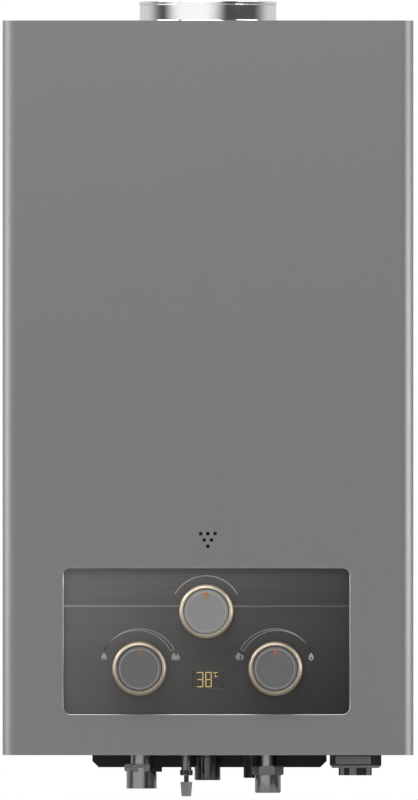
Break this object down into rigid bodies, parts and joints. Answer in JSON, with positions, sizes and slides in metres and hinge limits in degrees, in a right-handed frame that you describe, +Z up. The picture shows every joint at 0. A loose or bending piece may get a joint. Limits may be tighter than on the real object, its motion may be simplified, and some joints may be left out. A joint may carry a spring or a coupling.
{
  "type": "portable propane water heater",
  "caption": "Wall-hung propane water heater with a painted cover, recessed panel with turning knobs, round flue spigot and water, gas and battery fittings below.",
  "frame": {"origin": "centre of the back plate's wall face", "axes": "+Z up, +Y into the wall, +X to the right of a person facing the front"},
  "size_m": [0.33, 0.1815, 0.6395],
  "materials": {
    "casing_paint": "fine satin grey paint",
    "galvanised": "galvanised sheet",
    "flue_metal": "bright rolled aluminium",
    "panel_dark": "horizontally brushed, tinted dark",
    "display_lens": "smoked clear plastic",
    "circuit_board": "green solder mask",
    "copper": "bright copper",
    "mica": "clear mica",
    "stainless": "satin stainless steel",
    "die_cast": "as-cast aluminium",
    "dark_zinc": "blackened steel",
    "zinc": "dull plated steel",
    "brass": "machined brass",
    "black_plastic": "satin black plastic",
    "knob_grey": "satin grey plastic",
    "knob_bezel": "satin champagne bronze plating",
    "rubber": "black rubber",
    "ceramic": "white steatite",
    "battery_jacket": "plain blue jacket",
    "lead_silicone": "red silicone"
  },
  "bodies": {
    "chassis": {"front_cover": "casing_paint", "back_plate": "galvanised", "top_plate": "galvanised", "base_plate": "galvanised", "control_panel": "panel_dark", "display_lens": "display_lens", "display_board": "circuit_board", "combustion_chamber": "copper", "sight_window": "mica", "heat_exchanger_case": "copper", "heat_exchanger_fins": "copper", "heat_exchanger_tubes": "copper", "flue_hood": "galvanised", "flue_collar": "flue_metal", "overheat_thermostat": "ceramic", "burner_frame": "galvanised", "burner_bars": "stainless", "gas_manifold": "die_cast", "gas_nozzles": "brass", "burner_electrodes": "ceramic", "gas_valve_body": "die_cast", "gas_riser": "die_cast", "gas_inlet_nipple": "dark_zinc", "solenoid_coil": "black_plastic", "gas_valve_spring": "stainless", "microswitch": "black_plastic", "water_valve_body": "brass", "diaphragm_cover": "brass", "diaphragm": "rubber", "screws": "zinc", "cold_inlet_nipple": "zinc", "drain_cap": "black_plastic", "hot_outlet_block": "zinc", "cold_pipe": "copper", "hot_pipe": "copper", "union_nuts": "brass", "valve_bracket": "galvanised", "intake_guard": "black_plastic", "battery_box": "black_plastic", "battery_cells": "battery_jacket", "battery_contacts": "stainless", "igniter_box": "black_plastic", "ignition_lead": "lead_silicone"},
    "selector_knob": {"selector_knob_cap": "knob_grey", "selector_knob_bezel": "knob_bezel", "selector_spindle": "stainless"},
    "flame_knob": {"flame_knob_cap": "knob_grey", "flame_knob_bezel": "knob_bezel", "flame_spindle": "stainless"},
    "water_knob": {"water_knob_cap": "knob_grey", "water_knob_bezel": "knob_bezel", "water_spindle": "stainless"},
    "linkage": {"linkage_rod": "stainless"},
    "switch_lever": {"microswitch_lever": "stainless"},
    "switch_button": {"microswitch_button": "knob_grey"},
    "relief_plug": {"relief_seal": "rubber"},
    "relief_thumbscrew": {"relief_screw": "zinc"},
    "lid": {"battery_lid": "black_plastic"},
    "safety_plunger": {"solenoid_plunger": "stainless"},
    "outlet_nut": {"hot_outlet_nut": "zinc"}
  },
  "joints": [
    {"name": "selector_turn", "type": "hinge", "parent": "chassis", "child": "selector_knob", "pos_m": [-0.0015, -0.1635, -0.1797], "axis": [0, 1, 0], "range_deg": [-60, 60]},
    {"name": "flame_turn", "type": "hinge", "parent": "chassis", "child": "flame_knob", "pos_m": [-0.0551, -0.1635, -0.2255], "axis": [0, 1, 0], "range_deg": [-63, 63]},
    {"name": "water_turn", "type": "hinge", "parent": "chassis", "child": "water_knob", "pos_m": [0.054, -0.1635, -0.2255], "axis": [0, 1, 0], "range_deg": [-63, 63]},
    {"name": "linkage_slide", "type": "slide", "parent": "chassis", "child": "linkage", "axis": [-1, 0, 0], "range_m": [0, 0.004], "stiffness_N_per_m": 500, "springref_m": -0.01, "deforming": ["gas_valve_spring", "diaphragm"]},
    {"name": "lever_swing", "type": "hinge", "parent": "chassis", "child": "switch_lever", "pos_m": [0.00075, -0.097, -0.2005], "axis": [0, 1, 0], "range_deg": [0, 12.5]},
    {"name": "button_slide", "type": "slide", "parent": "chassis", "child": "switch_button", "axis": [-1, 0, 0], "range_m": [0, 0.0026]},
    {"name": "plunger_slide", "type": "slide", "parent": "chassis", "child": "safety_plunger", "axis": [-1, 0, 0], "range_m": [0, 0.003], "stiffness_N_per_m": 400, "springref_m": -0.005},
    {"name": "relief_travel", "type": "slide", "parent": "chassis", "child": "relief_plug", "axis": [0, 0, -1], "range_m": [0, 0.003]},
    {"name": "relief_turn", "type": "hinge", "parent": "relief_plug", "child": "relief_thumbscrew", "pos_m": [-0.0174, -0.126, -0.317], "axis": [0, 0, 1], "range_deg": [0, 1080]},
    {"name": "lid_hinge", "type": "hinge", "parent": "chassis", "child": "lid", "pos_m": [0.1187, -0.0698, -0.3043], "axis": [1, 0, 0], "range_deg": [0, 100]},
    {"name": "nut_spin", "type": "hinge", "parent": "chassis", "child": "outlet_nut", "pos_m": [-0.0534, -0.126, -0.312], "axis": [0, 0, 1], "continuous": true}
  ],
  "couplings": [
    {"joint": "lever_swing", "follows": "linkage_slide", "rad_per_m": 52.63},
    {"joint": "button_slide", "follows": "linkage_slide", "ratio": 0.6316},
    {"joint": "relief_turn", "follows": "relief_travel", "rad_per_m": 6283.1}
  ]
}
